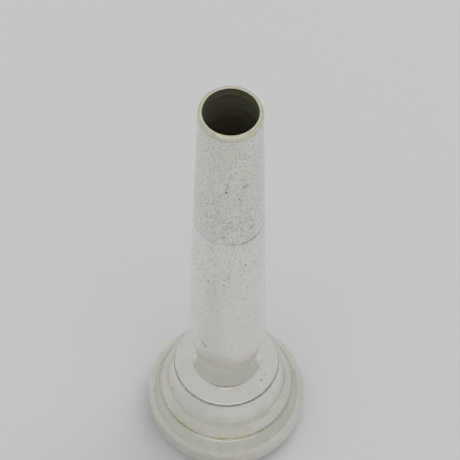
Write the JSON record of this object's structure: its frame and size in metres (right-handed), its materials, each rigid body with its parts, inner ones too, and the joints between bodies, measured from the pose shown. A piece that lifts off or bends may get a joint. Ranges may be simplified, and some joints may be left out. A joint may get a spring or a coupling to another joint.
{
  "type": "trumpet mouthpiece",
  "caption": "Silver-plated trumpet mouthpiece in screwed sections: cushioned rim, bowl cup, tapered backbore and a slide-on shank sleeve for the instrument's receiver.",
  "frame": {"origin": "centre of the plane on which the rim rests, on the axis of the bore", "axes": "+Z along the bore axis, from the rim to the shank tip"},
  "size_m": [0.0268, 0.0268, 0.0873],
  "materials": {
    "silver_plate_polished": "polished silver plate over brass, lightly pitted",
    "silver_plate_satin": "worn satin silver plate over brass, finely pitted",
    "ring_rubber": "smooth black nitrile"
  },
  "bodies": {
    "rim": {"rim": "silver_plate_polished"},
    "rim_o_ring": {"rim_o_ring": "ring_rubber"},
    "cup": {"cup": "silver_plate_polished"},
    "shank_o_ring": {"shank_o_ring": "ring_rubber"},
    "backbore": {"backbore": "silver_plate_polished"},
    "shank_sleeve": {"shank_sleeve": "silver_plate_satin"}
  },
  "joints": [
    {"name": "rim_travel", "type": "slide", "parent": "rim", "child": "rim_o_ring", "axis": [0, 0, 1], "range_m": [0, 0.00337]},
    {"name": "rim_screw", "type": "hinge", "parent": "rim_o_ring", "child": "cup", "pos_m": [0, 0, 0.0066], "axis": [0, 0, 1], "range_deg": [0, 1621]},
    {"name": "backbore_travel", "type": "slide", "parent": "cup", "child": "shank_o_ring", "axis": [0, 0, 1], "range_m": [0, 0.003]},
    {"name": "backbore_screw", "type": "hinge", "parent": "shank_o_ring", "child": "backbore", "pos_m": [0, 0, 0.0138], "axis": [0, 0, 1], "range_deg": [0, 1441]},
    {"name": "sleeve_slide", "type": "slide", "parent": "backbore", "child": "shank_sleeve", "axis": [0, 0, 1], "range_m": [0, 0.02]}
  ],
  "couplings": [
    {"joint": "rim_screw", "follows": "rim_travel", "rad_per_m": 8377.6},
    {"joint": "backbore_screw", "follows": "backbore_travel", "rad_per_m": 8377.6}
  ]
}
